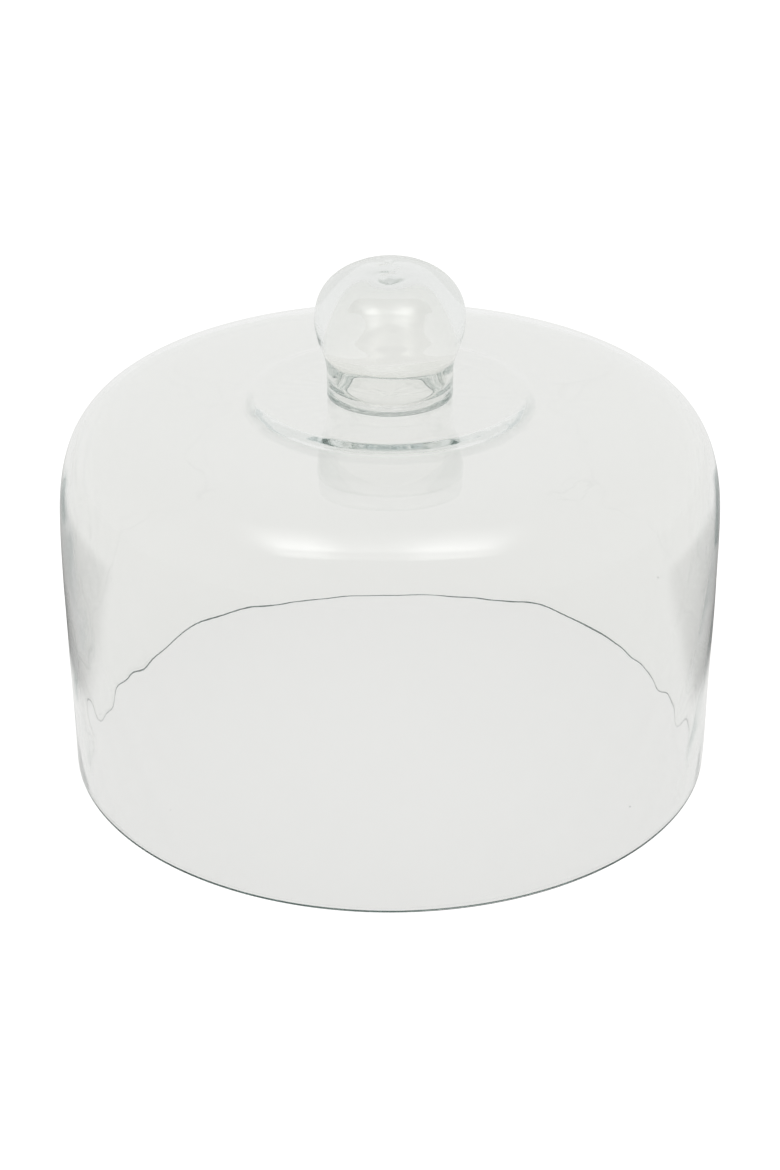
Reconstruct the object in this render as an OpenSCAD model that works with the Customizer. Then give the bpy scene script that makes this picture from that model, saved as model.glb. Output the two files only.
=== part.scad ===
// Blown-glass cake dome: a bell that stands on its open rim, with a hollow ball knob sealed
// onto its crown. Millimetres, +Z up. The origin is the middle of the rim's plane.

/* [Bell] */
// Outside diameter at the rim
rim_d = 260; // [200:1:320]
// How much further out the wall stands at the shoulder than at the rim
wall_flare = 1.2; // [0:0.1:6]
// Height of the bell from the rim to the top of its shoulder
bell_h = 154.8; // [110:0.2:200]
// Height of the shoulder curve, which is the top part of the bell's height
shoulder_rise = 75.5; // [50:0.1:95]
// Squareness of the shoulder: 2 is an ellipse, more is squarer
shoulder_power = 4.4; // [2:0.1:5]
// How much squarer the shoulder is inside, which keeps its glass nearly as thin as the wall
shoulder_inner_extra = 0.55; // [0:0.05:1]
// Thickness of the side wall
wall_t = 3.4; // [2:0.1:6]
// Thickness of the crown where the shoulder ends
crown_t = 5; // [3:0.1:8]
// Radius of the rounded edges of the rim
rim_edge_r = 0.8; // [0.3:0.1:0.9]

/* [Crown] */
// Diameter of the swollen ring around the knob
crest_d = 100; // [90:1:130]
// Height of that ring above the top of the shoulder
crest_rise = 1.8; // [0.5:0.1:4]
// Width of the slope from that ring out to the shoulder
crest_w = 8; // [4:0.5:20]
// Depth of the dish inside the ring
dish_depth = 0.4; // [0.2:0.1:3]
// Width of the slope from the ring in to the dish
dish_w = 10; // [4:0.5:14]

/* [Knob] */
// Greatest diameter of the ball
knob_d = 58.8; // [52:0.2:72]
// Height of the full oval that the ball is cut from
knob_oval_h = 45.8; // [40:0.2:56]
// Squareness of the ball's upper half: 2 is an ellipse, more is squarer
knob_power = 2.3; // [2:0.1:3]
// Height of the ball's middle above the seal in the dish
knob_mid_h = 30; // [27:0.1:36]
// Diameter of the neck under the ball
neck_d = 49.2; // [40:0.2:52]
// Thickness of glass between the neck's outside and the bubble
neck_wall_t = 2.3; // [1.5:0.1:8]
// How much further out the bubble reaches inside the ball than inside the neck
bubble_bulge = 2.3; // [0.5:0.1:2.5]
// Thickness of glass over the top of the bubble
bubble_roof = 9; // [5:0.5:16]
// Height of the bubble's widest place above the seal
bubble_mid_h = 21.8; // [16:0.2:28]
// Height of the rounded corner between the bubble's floor and its side, where the side stands upright
bubble_corner_h = 8; // [2:0.5:10]
// Squareness of the bubble's upper half: 2 is an ellipse, more is squarer
bubble_power = 4; // [2:0.1:6]
// How much further in the bubble's upper half leans at its top than at its widest place
bubble_lean = 7; // [0:0.2:10]
// Width of the ring of glass sealed to the bell, between the neck's outside and the bubble's floor
seal_w = 7.1; // [3:0.1:9]

/* [Hidden] */
$fn = 180;

rim_r = rim_d / 2;
shoulder_r = rim_r + wall_flare;
wall_h = bell_h - shoulder_rise;
crest_r = crest_d / 2;
crown_r = crest_r + crest_w;
shoulder_reach = shoulder_r - crown_r;
crest_z = bell_h + crest_rise;
dish_r = crest_r - dish_w;
dish_z = crest_z - dish_depth;
knob_r = knob_d / 2;
neck_r = neck_d / 2;
knob_mid_z = dish_z + knob_mid_h;
bubble_neck_r = neck_r - neck_wall_t;
bubble_r = bubble_neck_r + bubble_bulge;
bubble_floor_r = neck_r - seal_w;
bubble_mid_z = dish_z + bubble_mid_h;
bubble_top_h = knob_mid_h + knob_oval_h / 2 - bubble_roof - bubble_mid_h;

// Points along the shoulder, along the crown's swells and along each quarter turn
shoulder_steps = 28;
swell_steps = 8;
turn_steps = 6;
ball_steps = 20;
low_steps = 3;
blend_steps = 8;
bubble_steps = 20;
// Angle below the ball's middle where it starts to run into the neck
blend_from = 8;
// Length of the two handles that shape the run from ball to neck
blend_pull = 9.7;
// How late the bubble's lean sets in: 1 is an even lean, more keeps its lower part upright
lean_power = 1.4;

// 0 to 1, with a level start and a level end
function ease(t) = (1 - cos(180 * t)) / 2;

// An oval arc about a middle point, from one angle to another; power 2 is a true ellipse
function arc_point(mid, rx, rz, a, power) =
    [mid.x + sign(cos(a)) * rx * pow(abs(cos(a)), 2 / power),
     mid.y + sign(sin(a)) * rz * pow(abs(sin(a)), 2 / power)];
function arc(mid, rx, rz, from, to, steps, power = 2) =
    [for (i = [0:steps]) arc_point(mid, rx, rz, from + (to - from) * i / steps, power)];
// The same, with its points closer together near both ends
function eased_arc(mid, rx, rz, from, to, steps, power) =
    [for (i = [0:steps]) arc_point(mid, rx, rz, from + (to - from) * ease(i / steps), power)];

// A swell between two points, level at both
function swell(from, to, steps) =
    [for (i = [1:steps])
        [from.x + (to.x - from.x) * i / steps, from.y + (to.y - from.y) * ease(i / steps)]];

// A cubic curve between two points, pulled by two handles
function bezier(a, b, c, d, steps) =
    [for (i = [1:steps]) let (t = i / steps, s = 1 - t)
        s * s * s * a + 3 * s * s * t * b + 3 * s * t * t * c + t * t * t * d];

// The share of its width that the bubble keeps at a share of its upper half's height
function lean(share) = 1 - bubble_lean / bubble_r * pow(share, lean_power);

function reversed(list) = [for (i = [len(list) - 1:-1:0]) list[i]];

// The bell's faces from the wall's top to the crown, side_t or top_t inside the outer face
function shoulder_line(side_t, top_t, power) =
    eased_arc([crown_r, wall_h], shoulder_reach - side_t, shoulder_rise - top_t, 0, 90,
        shoulder_steps, power);

// The crown's outer face swells up to the ring and down into the dish; its inner face is flat
function crown_line() = concat(
    swell([crown_r, bell_h], [crest_r, crest_z], swell_steps),
    swell([crest_r, crest_z], [dish_r, dish_z], swell_steps));

module bell() {
    outer_edge = arc([rim_r - rim_edge_r, rim_edge_r], rim_edge_r, rim_edge_r, 270, 360, turn_steps);
    inner_edge = arc([rim_r - wall_t + rim_edge_r, rim_edge_r], rim_edge_r, rim_edge_r, 180, 270,
        turn_steps);
    outer = concat(outer_edge, shoulder_line(0, 0, shoulder_power), crown_line(), [[0, dish_z]]);
    inner = concat(shoulder_line(wall_t, crown_t, shoulder_power + shoulder_inner_extra),
        [[0, bell_h - crown_t]]);
    color([0.85, 0.93, 0.91, 0.4])
        rotate_extrude()
            polygon(concat(outer, reversed(inner), inner_edge));
}

module knob() {
    ball_low = arc([0, knob_mid_z], knob_r, knob_oval_h / 2, -blend_from, 0, low_steps);
    ball_high = arc([0, knob_mid_z], knob_r, knob_oval_h / 2, 0, 90, ball_steps, knob_power);
    ball_start = ball_low[0];
    blend_dir = [-knob_r * sin(blend_from), -knob_oval_h / 2 * cos(blend_from)];
    blend_unit = blend_dir / norm(blend_dir);
    neck_top = [neck_r, ball_start.y - 2 * blend_pull];
    neck_blend = bezier(neck_top, neck_top + [0, blend_pull], ball_start + blend_unit * blend_pull,
        ball_start, blend_steps);
    outer = concat([[neck_r, dish_z], neck_top], neck_blend, [for (i = [1:low_steps]) ball_low[i]],
        [for (i = [1:ball_steps]) ball_high[i]]);
    bubble_corner = arc([bubble_floor_r, dish_z + bubble_corner_h], bubble_neck_r - bubble_floor_r,
        bubble_corner_h, 270, 360, turn_steps);
    bubble_side = bezier([bubble_neck_r, dish_z + bubble_corner_h],
        [bubble_neck_r, dish_z + (bubble_corner_h + bubble_mid_h) / 2],
        [bubble_r, dish_z + (bubble_corner_h + bubble_mid_h) / 2],
        [bubble_r, bubble_mid_z], blend_steps);
    bubble_high = [for (p = arc([0, bubble_mid_z], bubble_r, bubble_top_h, 0, 90, bubble_steps,
        bubble_power)) [p.x * lean((p.y - bubble_mid_z) / bubble_top_h), p.y]];
    bubble = concat(bubble_corner, bubble_side, [for (i = [1:bubble_steps]) bubble_high[i]]);
    color([0.85, 0.93, 0.91, 0.4])
        rotate_extrude()
            polygon(concat(outer, reversed(bubble)));
}

bell();
knob();
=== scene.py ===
"""A hand-blown glass cake dome on a pale floor in soft studio light."""
import math
import random

import bpy
import numpy as np
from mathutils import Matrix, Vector


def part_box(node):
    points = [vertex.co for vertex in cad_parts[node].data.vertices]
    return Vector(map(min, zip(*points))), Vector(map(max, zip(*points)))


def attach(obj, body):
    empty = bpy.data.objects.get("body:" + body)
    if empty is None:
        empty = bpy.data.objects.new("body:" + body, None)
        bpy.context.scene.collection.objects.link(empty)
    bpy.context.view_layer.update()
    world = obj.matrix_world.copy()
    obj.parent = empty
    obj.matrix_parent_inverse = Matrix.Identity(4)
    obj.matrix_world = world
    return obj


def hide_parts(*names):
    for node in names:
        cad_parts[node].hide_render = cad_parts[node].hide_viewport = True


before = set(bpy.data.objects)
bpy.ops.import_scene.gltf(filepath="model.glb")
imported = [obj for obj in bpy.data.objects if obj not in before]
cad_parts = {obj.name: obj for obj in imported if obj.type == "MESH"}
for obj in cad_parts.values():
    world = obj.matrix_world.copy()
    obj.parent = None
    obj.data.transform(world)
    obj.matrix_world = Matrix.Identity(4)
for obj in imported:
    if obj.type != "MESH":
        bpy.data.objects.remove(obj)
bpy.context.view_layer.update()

MM = 0.001

# ---- The frame's own sizes: the glass is made round the axis of the CAD nodes ----
bell_low, bell_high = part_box("bell")
knob_low, knob_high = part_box("knob")
shoulder_r = (bell_high.x - bell_low.x) / 2
seal_z = knob_low.z
knob_r = (knob_high.x - knob_low.x) / 2
knob_top = knob_high.z

# ---- The sections' details, as the CAD pieces have them ----
wall_flare = 1.2 * MM
shoulder_rise = 75.5 * MM
shoulder_power = 4.4
shoulder_inner_extra = 0.55
wall_t = 3.4 * MM
crown_t = 5 * MM
rim_edge_r = 0.8 * MM
crest_r = 50 * MM
crest_rise = 1.8 * MM
crest_w = 8 * MM
dish_depth = 0.4 * MM
dish_w = 10 * MM
knob_half = 22.9 * MM
knob_power = 2.3
neck_r = 24.6 * MM
neck_wall_t = 2.3 * MM
blend_from = 8
blend_pull = 9.7 * MM
bubble_bulge = 2.3 * MM
bubble_roof = 9 * MM
bubble_mid_h = 21.8 * MM
bubble_corner_h = 8 * MM
bubble_power = 4
bubble_lean = 7 * MM
lean_power = 1.4
seal_w = 7.1 * MM

rim_r = shoulder_r - wall_flare
dish_z = seal_z
crest_z = dish_z + dish_depth
bell_h = crest_z - crest_rise
wall_h = bell_h - shoulder_rise
crown_r = crest_r + crest_w
shoulder_reach = shoulder_r - crown_r
dish_r = crest_r - dish_w
knob_mid_z = knob_top - knob_half
bubble_neck_r = neck_r - neck_wall_t
bubble_r = bubble_neck_r + bubble_bulge
bubble_floor_r = neck_r - seal_w
bubble_mid_z = seal_z + bubble_mid_h
bubble_rise = knob_top - bubble_roof - bubble_mid_z

# The knob's foot goes this far into the crown, so that no film of air shows where they are fused
FUSE = 0.15 * MM

# How finely the pieces are cut: steps round the axis, and length of a step along each section
BELL_TURNS, BELL_STEP = 384, 2.0 * MM
KNOB_TURNS, KNOB_STEP = 192, 0.8 * MM
# Points closer than this are one point
SAME_PLACE = 1e-7


# ---- Curves of the sections: arrays of (radius, height) rows ----
def ease(t):
    return (1 - np.cos(np.pi * t)) / 2


def oval(mid, rx, rz, start, end, steps, power=2.0, eased=False):
    """An oval arc about mid from one angle to another, in degrees."""
    t = np.linspace(0, 1, steps + 1)
    a = np.radians(start + (end - start) * (ease(t) if eased else t))
    c, s = np.cos(a), np.sin(a)
    return np.column_stack((
        mid[0] + np.sign(c) * rx * np.abs(c) ** (2 / power),
        mid[1] + np.sign(s) * rz * np.abs(s) ** (2 / power)))


def line(a, b, steps):
    t = np.linspace(0, 1, steps + 1)[:, None]
    return np.array(a) * (1 - t) + np.array(b) * t


def swell(a, b, steps):
    """A rise or fall between two points that is level at both."""
    t = np.linspace(0, 1, steps + 1)
    return np.column_stack((a[0] + (b[0] - a[0]) * t, a[1] + (b[1] - a[1]) * ease(t)))


def bezier(a, b, c, d, steps):
    t = np.linspace(0, 1, steps + 1)[:, None]
    s = 1 - t
    a, b, c, d = map(np.array, (a, b, c, d))
    return s**3 * a + 3 * s * s * t * b + 3 * s * t * t * c + t**3 * d


def chain(*runs):
    """Runs of points joined, without doubled ends."""
    points = [runs[0][0]]
    for run in runs:
        for p in run:
            if np.hypot(*(p - points[-1])) > SAME_PLACE:
                points.append(p)
    return np.array(points)


def even(points, spacing):
    """The same run with points about one spacing apart, so that its faces are alike in length."""
    steps = np.hypot(*np.diff(points, axis=0).T)
    along = np.concatenate(([0], np.cumsum(steps)))
    count = max(2, int(round(along[-1] / spacing)))
    at = np.linspace(0, along[-1], count + 1)
    return np.column_stack([np.interp(at, along, points[:, side]) for side in (0, 1)])


def bell_face(side_t, top_t, power, wall_foot):
    """One face of the bell from its wall's foot to the crown, side_t or top_t inside the outer face."""
    shoulder = oval((crown_r, wall_h), shoulder_reach - side_t, shoulder_rise - top_t, 0, 90, 400,
                    power, eased=True)
    return chain(line(wall_foot, (shoulder_r - side_t, wall_h), 40), shoulder)


def bell_section():
    outer_edge = oval((rim_r - rim_edge_r, rim_edge_r), rim_edge_r, rim_edge_r, -90, 0, 24)
    inner_edge = oval((rim_r - wall_t + rim_edge_r, rim_edge_r), rim_edge_r, rim_edge_r, 180, 270, 24)
    outer = chain(
        bell_face(0, 0, shoulder_power, outer_edge[-1]),
        swell((crown_r, bell_h), (crest_r, crest_z), 60),
        swell((crest_r, crest_z), (dish_r, dish_z), 40), line((dish_r, dish_z), (0, dish_z), 12))
    inner = chain(bell_face(wall_t, crown_t, shoulder_power + shoulder_inner_extra, inner_edge[0]),
                  line((crown_r, bell_h - crown_t), (0, bell_h - crown_t), 30))
    return chain(
        outer_edge, even(outer, BELL_STEP), even(inner, BELL_STEP)[::-1], inner_edge,
        line(inner_edge[-1], outer_edge[0], 3))


def knob_section():
    foot = seal_z - FUSE
    ball_low = oval((0, knob_mid_z), knob_r, knob_half, -blend_from, 0, 24)
    ball_high = oval((0, knob_mid_z), knob_r, knob_half, 0, 90, 120, knob_power)
    start = ball_low[0]
    turn = math.radians(blend_from)
    way = np.array((-knob_r * math.sin(turn), -knob_half * math.cos(turn)))
    way /= np.hypot(*way)
    neck_top = (neck_r, start[1] - 2 * blend_pull)
    neck = bezier(neck_top, (neck_r, neck_top[1] + blend_pull), start + way * blend_pull, start, 60)
    corner = oval((bubble_floor_r, seal_z + bubble_corner_h), bubble_neck_r - bubble_floor_r,
                  bubble_corner_h, -90, 0, 40)
    half_way = seal_z + (bubble_corner_h + bubble_mid_h) / 2
    side = bezier(corner[-1], (bubble_neck_r, half_way), (bubble_r, half_way),
                  (bubble_r, bubble_mid_z), 60)
    bubble_high = oval((0, bubble_mid_z), bubble_r, bubble_rise, 0, 90, 400, bubble_power)
    up_share = (bubble_high[:, 1] - bubble_mid_z) / bubble_rise
    bubble_high[:, 0] *= 1 - bubble_lean / bubble_r * np.clip(up_share, 0, 1) ** lean_power
    outer = even(chain(line((neck_r, seal_z), neck_top, 8), neck, ball_low, ball_high), KNOB_STEP)
    bubble = even(chain(corner, side, bubble_high), KNOB_STEP)
    return chain(
        line((neck_r, foot), (neck_r, seal_z), 1), outer, bubble[::-1],
        line((bubble_floor_r, seal_z), (bubble_floor_r, foot), 1),
        line((bubble_floor_r, foot), (neck_r, foot), 4))


# ---- Meshes ----
def lathe(section, ripple, turns):
    """Points and faces of a section turned round the Z axis. The section ends where it starts.
    ripple(x, y, z) moves each point along the section's own normal. A point on the axis stays one."""
    section = section[:-1]
    ahead, behind = np.roll(section, -1, axis=0), np.roll(section, 1, axis=0)
    run = ahead - behind
    normal = np.column_stack((run[:, 1], -run[:, 0]))
    normal /= np.hypot(*normal.T)[:, None]
    angles = np.linspace(0, 2 * math.pi, turns, endpoint=False)
    cosines, sines = np.cos(angles), np.sin(angles)
    points, rows = [], []
    for (r, z), (nr, nz) in zip(section, normal):
        if r < SAME_PLACE:
            rows.append([len(points)] * turns)
            points.append((0.0, 0.0, z))
            continue
        shift = ripple(r * cosines, r * sines, z)
        rows.append(list(range(len(points), len(points) + turns)))
        radius = r + nr * shift
        height = z + nz * shift
        points.extend(zip(radius * cosines, radius * sines, height))
    faces = []
    for i, low in enumerate(rows):
        high = rows[(i + 1) % len(rows)]
        for k in range(turns):
            n = (k + 1) % turns
            corners = []
            for v in (low[k], low[n], high[n], high[k]):
                if v not in corners:
                    corners.append(v)
            if len(corners) > 2:
                faces.append(tuple(corners))
    return points, faces


def seed_bubble(points, faces, centre, radii, turn=0.0, rings=8, sides=12):
    """Adds a small closed air bubble, facing inwards, to a glass mesh."""
    first = len(points)
    c, s = math.cos(turn), math.sin(turn)
    for i in range(1, rings):
        a = math.pi * i / rings
        for k in range(sides):
            b = 2 * math.pi * k / sides
            x = radii[0] * math.sin(a) * math.cos(b)
            y = radii[1] * math.sin(a) * math.sin(b)
            z = radii[2] * math.cos(a)
            points.append((centre[0] + x * c - y * s, centre[1] + x * s + y * c, centre[2] + z))
    top, bottom = len(points), len(points) + 1
    points.append((centre[0], centre[1], centre[2] + radii[2]))
    points.append((centre[0], centre[1], centre[2] - radii[2]))
    last = first + (rings - 2) * sides
    for k in range(sides):
        n = (k + 1) % sides
        faces.append((top, first + n, first + k))
        faces.append((bottom, last + k, last + n))
        for i in range(rings - 2):
            a, b = first + i * sides, first + (i + 1) * sides
            faces.append((a + k, a + n, b + n, b + k))


def glass_piece(name, points, faces, material):
    mesh = bpy.data.meshes.new(name)
    mesh.from_pydata([tuple(map(float, p)) for p in points], [], faces)
    mesh.update()
    mesh.polygons.foreach_set("use_smooth", [True] * len(mesh.polygons))
    mesh.materials.append(material)
    piece = bpy.data.objects.new(name, mesh)
    bpy.context.scene.collection.objects.link(piece)
    return piece


# ---- Hand-blown unevenness: sums of long and short waves ----
# Height over which the waves set in above the rim, and above the knob's seal
RIM_CALM = 6 * MM
SEAL_CALM = 8 * MM
# How much weaker the bell's waves are on the crown than on the wall
CROWN_CALM = 0.85
# How fast the waves follow each other on the way out, compared with the way up
OUTWARD_PACE = 0.6


def smooth(t):
    t = min(max(t, 0.0), 1.0)
    return t * t * (3 - 2 * t)


def wall_only(z):
    """The waves' strength at a height: none at the rim that it stands on, little on the crown."""
    return smooth(z / RIM_CALM) * (1 - CROWN_CALM * smooth((z - wall_h) / (bell_h - wall_h)))


def above_seal(z):
    """The waves' strength on the knob: none at its foot, so that the foot stays sunk in the crown."""
    return smooth((z - seal_z) / SEAL_CALM)


def waves(terms, settle):
    def ripple(x, y, z):
        round_way = np.arctan2(y, x)
        reach = np.hypot(x, y)
        total = 0
        for size, lobes, rise, phase in terms:
            turn = lobes * round_way + (z + OUTWARD_PACE * reach) * 2 * math.pi / rise + phase
            total = total + size * np.sin(turn)
        return total * settle(z)
    return ripple


# Each wave: size, number of lobes round the axis, length on the way up and out, phase
BELL_WAVES = (
    (0.10 * MM, 3, 0.30, 0.4),
    (0.08 * MM, 5, 0.21, 2.1),
    (0.05 * MM, 8, 0.13, 4.0),
    (0.050 * MM, 17, 0.060, 1.2),
    (0.040 * MM, -23, 0.047, 5.1),
    (0.014 * MM, 41, 0.031, 3.3),
    (0.010 * MM, -53, 0.026, 0.9),
)
KNOB_WAVES = (
    (0.10 * MM, 2, 0.080, 0.9),
    (0.05 * MM, 3, 0.035, 2.2),
    (0.02 * MM, 5, 0.018, 4.1),
)


# ---- Helpers for node trees ----
def between(tree, value, low, high, start=0, end=1):
    """A smooth change from start to end as a value goes from low to high."""
    node = tree.nodes.new("ShaderNodeMapRange")
    node.interpolation_type = "SMOOTHSTEP"
    node.inputs["From Min"].default_value = low
    node.inputs["From Max"].default_value = high
    node.inputs["To Min"].default_value = start
    node.inputs["To Max"].default_value = end
    tree.links.new(value, node.inputs["Value"])
    return node.outputs["Result"]


def times(tree, a, b):
    node = tree.nodes.new("ShaderNodeMath")
    node.operation = "MULTIPLY"
    tree.links.new(a, node.inputs[0])
    tree.links.new(b, node.inputs[1])
    return node.outputs[0]


# ---- Materials ----
def glass(name, skin_tint, tint, density, smear):
    """Clear glass: the surface shader bends light and greys it a little, the volume holds the green
    that shows where the glass is thick, and a fine noise gives the skin its faint unevenness."""
    material = bpy.data.materials.new(name)
    material.use_nodes = True
    tree = material.node_tree
    nodes, links = tree.nodes, tree.links
    surface = nodes["Principled BSDF"]
    surface.inputs["Base Color"].default_value = skin_tint
    surface.inputs["Transmission Weight"].default_value = 1.0
    surface.inputs["IOR"].default_value = 1.5
    place = nodes.new("ShaderNodeTexCoord")
    haze = nodes.new("ShaderNodeTexNoise")
    haze.inputs["Scale"].default_value = 18
    haze.inputs["Detail"].default_value = 4
    links.new(place.outputs["Object"], haze.inputs["Vector"])
    amount = nodes.new("ShaderNodeMapRange")
    amount.inputs["From Min"].default_value = 0.5
    amount.inputs["From Max"].default_value = 0.8
    amount.inputs["To Min"].default_value = 0.0
    amount.inputs["To Max"].default_value = smear
    links.new(haze.outputs["Fac"], amount.inputs["Value"])
    links.new(amount.outputs["Result"], surface.inputs["Roughness"])
    skin = nodes.new("ShaderNodeTexNoise")
    skin.inputs["Scale"].default_value = 60
    skin.inputs["Detail"].default_value = 2
    links.new(place.outputs["Object"], skin.inputs["Vector"])
    bump = nodes.new("ShaderNodeBump")
    bump.inputs["Strength"].default_value = 0.02
    bump.inputs["Distance"].default_value = 0.2 * MM
    links.new(skin.outputs["Fac"], bump.inputs["Height"])
    links.new(bump.outputs["Normal"], surface.inputs["Normal"])
    volume = nodes.new("ShaderNodeVolumeAbsorption")
    volume.inputs["Color"].default_value = tint
    volume.inputs["Density"].default_value = density
    links.new(volume.outputs["Volume"], nodes["Material Output"].inputs["Volume"])
    return material


# The floor's light as the glass shows it, and as it burns out where it is seen plainly
FLOOR_TONE = 0.735
FLOOR_BURNT_OUT = 1.02
# The painted shade on the floor that the side walls mirror, a dark band that only reflected rays see:
# where it sets in and fades on the way out from the axis, where it sets in and fades on the way back, and
# how much of it is left at the very back
PAINTED_SHADE_STARTS, PAINTED_SHADE_ENDS = (0.150, 0.185), (0.34, 0.48)
PAINTED_SHADE_BACK_STARTS, PAINTED_SHADE_BACK_FADES = (-0.02, 0.04), (0.05, 0.30)
PAINTED_SHADE_LEFT = 0.4


def floor_paper():
    """Pale paper, lit so brightly that it burns out to white where it is seen plainly. The glass shows it
    at its true tone, and mirrors painted shade: a dark band on the paper, seen only by reflected rays,
    that runs round the back of the place the glass stands on."""
    material = bpy.data.materials.new("floor_paper")
    material.use_nodes = True
    tree = material.node_tree
    nodes, links = tree.nodes, tree.links
    surface = nodes["Principled BSDF"]
    surface.inputs["Roughness"].default_value = 0.9
    surface.inputs["Specular IOR Level"].default_value = 0.1
    surface.inputs["Base Color"].default_value = (0.12, 0.12, 0.12, 1)
    surface.inputs["Emission Color"].default_value = (1, 1, 0.99, 1)
    place = nodes.new("ShaderNodeTexCoord")
    reach = nodes.new("ShaderNodeVectorMath")
    reach.operation = "LENGTH"
    links.new(place.outputs["Object"], reach.inputs[0])
    route = nodes.new("ShaderNodeLightPath")
    sides = nodes.new("ShaderNodeSeparateXYZ")
    links.new(place.outputs["Object"], sides.inputs[0])
    out, back = reach.outputs["Value"], sides.outputs["Y"]
    # Painted shade: a dark band on the paper round the back of the glass that only reflected rays see, so
    # that the side walls mirror dark streaks
    painted_shade = times(tree, between(tree, out, *PAINTED_SHADE_STARTS), between(tree, out, *PAINTED_SHADE_ENDS, 1, 0))
    painted_shade = times(tree, painted_shade, between(tree, back, *PAINTED_SHADE_BACK_STARTS))
    painted_shade = times(tree, painted_shade, between(tree, back, *PAINTED_SHADE_BACK_FADES, 1, PAINTED_SHADE_LEFT))
    painted_shade = times(tree, painted_shade, route.outputs["Is Reflection Ray"])
    seen = between(tree, route.outputs["Is Camera Ray"], 0, 1, FLOOR_TONE, FLOOR_BURNT_OUT)
    links.new(times(tree, seen, between(tree, painted_shade, 0, 1, 1, 0)), surface.inputs["Emission Strength"])
    return material


# ---- The glass ----
GLASS_GREEN = (0.25, 0.38, 0.36, 1)
SMEAR = 0.03
bell_glass = glass("bell_glass", (0.985, 0.985, 0.975, 1), GLASS_GREEN, 5.5, SMEAR)
knob_glass = glass("knob_glass", (0.96, 0.96, 0.945, 1), GLASS_GREEN, 6.0, SMEAR)

SEEDS = 16
dice = random.Random(7)


def scatter_bell_seeds(points, faces, count):
    """Small seeds in the middle of the side wall's glass, a little longer round the wall than up."""
    for _ in range(count):
        around = dice.uniform(0, 2 * math.pi)
        up = dice.uniform(0.05, 0.8) * wall_h
        reach = rim_r + wall_flare * up / wall_h - wall_t * dice.uniform(0.4, 0.6)
        size = dice.uniform(0.15, 0.32) * MM
        centre = (reach * math.cos(around), reach * math.sin(around), up)
        seed_bubble(points, faces, centre, (size, size * dice.uniform(1.2, 2.2), size), around)


def make_bell():
    points, faces = lathe(bell_section(), waves(BELL_WAVES, wall_only), BELL_TURNS)
    scatter_bell_seeds(points, faces, SEEDS)
    piece = glass_piece("blown_bell", points, faces, bell_glass)
    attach(piece, "root")
    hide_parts("bell")


def make_knob():
    points, faces = lathe(knob_section(), waves(KNOB_WAVES, above_seal), KNOB_TURNS)
    piece = glass_piece("blown_knob", points, faces, knob_glass)
    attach(piece, "root")
    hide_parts("knob")


make_bell()
make_knob()

# ---- Stage: a round sheet of pale paper, just under the rim ----
FLOOR_GAP = 0.2 * MM
bpy.ops.mesh.primitive_circle_add(
    vertices=128, radius=6, fill_type="NGON", location=(0, 0, -FLOOR_GAP))
floor = bpy.context.object
floor.name = "floor"
floor.data.materials.append(floor_paper())


# ---- Light: a soft studio sky and three soft lamps hung close over the front of the glass ----
# Each lamp: name, place, width, strength
LAMPS = (
    ("lamp_left", (-0.120, -0.115, 0.380), 0.15, 2.3),
    ("lamp_right", (0.085, -0.115, 0.380), 0.19, 1.8),
    ("lamp_between", (-0.010, -0.115, 0.385), 0.44, 0.9),
)
LAMP_DEPTH = 0.20
# Shares of a lamp's width and depth over which its edges fade
SIDE_FADE = 0.4
FRONT_FADE = 0.15


def soft_lamp(name, place, width, strength):
    """A lamp facing down, strongest near its front edge and fading out towards its other edges."""
    lamp = bpy.data.lights.new(name, "AREA")
    lamp.shape = "RECTANGLE"
    lamp.size, lamp.size_y = width, LAMP_DEPTH
    lamp.energy = strength * math.pi * width * LAMP_DEPTH
    lamp.use_nodes = True
    tree = lamp.node_tree
    nodes, links = tree.nodes, tree.links
    face = nodes.new("ShaderNodeNewGeometry")
    across = nodes.new("ShaderNodeSeparateXYZ")
    links.new(face.outputs["Parametric"], across.inputs[0])
    x, y = across.outputs["X"], across.outputs["Y"]
    glow = times(
        tree, times(tree, between(tree, x, 0, SIDE_FADE), between(tree, x, 1, 1 - SIDE_FADE)),
        times(tree, between(tree, y, 0, FRONT_FADE), between(tree, y, 1, FRONT_FADE)))
    links.new(glow, nodes["Emission"].inputs["Strength"])
    holder = bpy.data.objects.new(name, lamp)
    holder.location = place
    bpy.context.scene.collection.objects.link(holder)


for lamp_row in LAMPS:
    soft_lamp(*lamp_row)

# The studio's light low down and overhead, and the heights between which it changes
LIGHT_LOW, LIGHT_OVERHEAD = 0.93, 0.86
LIGHT_CHANGES = (0.30, 0.75)
world = bpy.data.worlds.new("studio")
bpy.context.scene.world = world
world.use_nodes = True
sky_tree = world.node_tree
where = sky_tree.nodes.new("ShaderNodeTexCoord")
way = sky_tree.nodes.new("ShaderNodeSeparateXYZ")
sky_tree.links.new(where.outputs["Generated"], way.inputs[0])
sky = sky_tree.nodes["Background"]
light = between(sky_tree, way.outputs["Z"], *LIGHT_CHANGES, LIGHT_LOW, LIGHT_OVERHEAD)
sky_tree.links.new(light, sky.inputs["Color"])
sky.inputs["Strength"].default_value = 1.0

# ---- Camera: the photograph's viewing angle and perspective ----
CAMERA_DISTANCE = 1.04
CAMERA_ELEVATION = math.radians(27.41)
CAMERA_AIM = Vector((0, 0, 0.0709))
camera_data = bpy.data.cameras.new("camera")
camera_data.sensor_width = 36
camera_data.lens = 78.8
camera = bpy.data.objects.new("camera", camera_data)
back = Vector((0, -math.cos(CAMERA_ELEVATION), math.sin(CAMERA_ELEVATION)))
camera.location = CAMERA_AIM + back * CAMERA_DISTANCE
camera.rotation_euler = (-back).to_track_quat("-Z", "Y").to_euler()
bpy.context.scene.collection.objects.link(camera)
bpy.context.scene.camera = camera

scene = bpy.context.scene
scene.view_settings.view_transform = "Standard"
scene.cycles.max_bounces = 128
scene.cycles.transmission_bounces = 64
scene.cycles.glossy_bounces = 96
scene.cycles.use_denoising = True
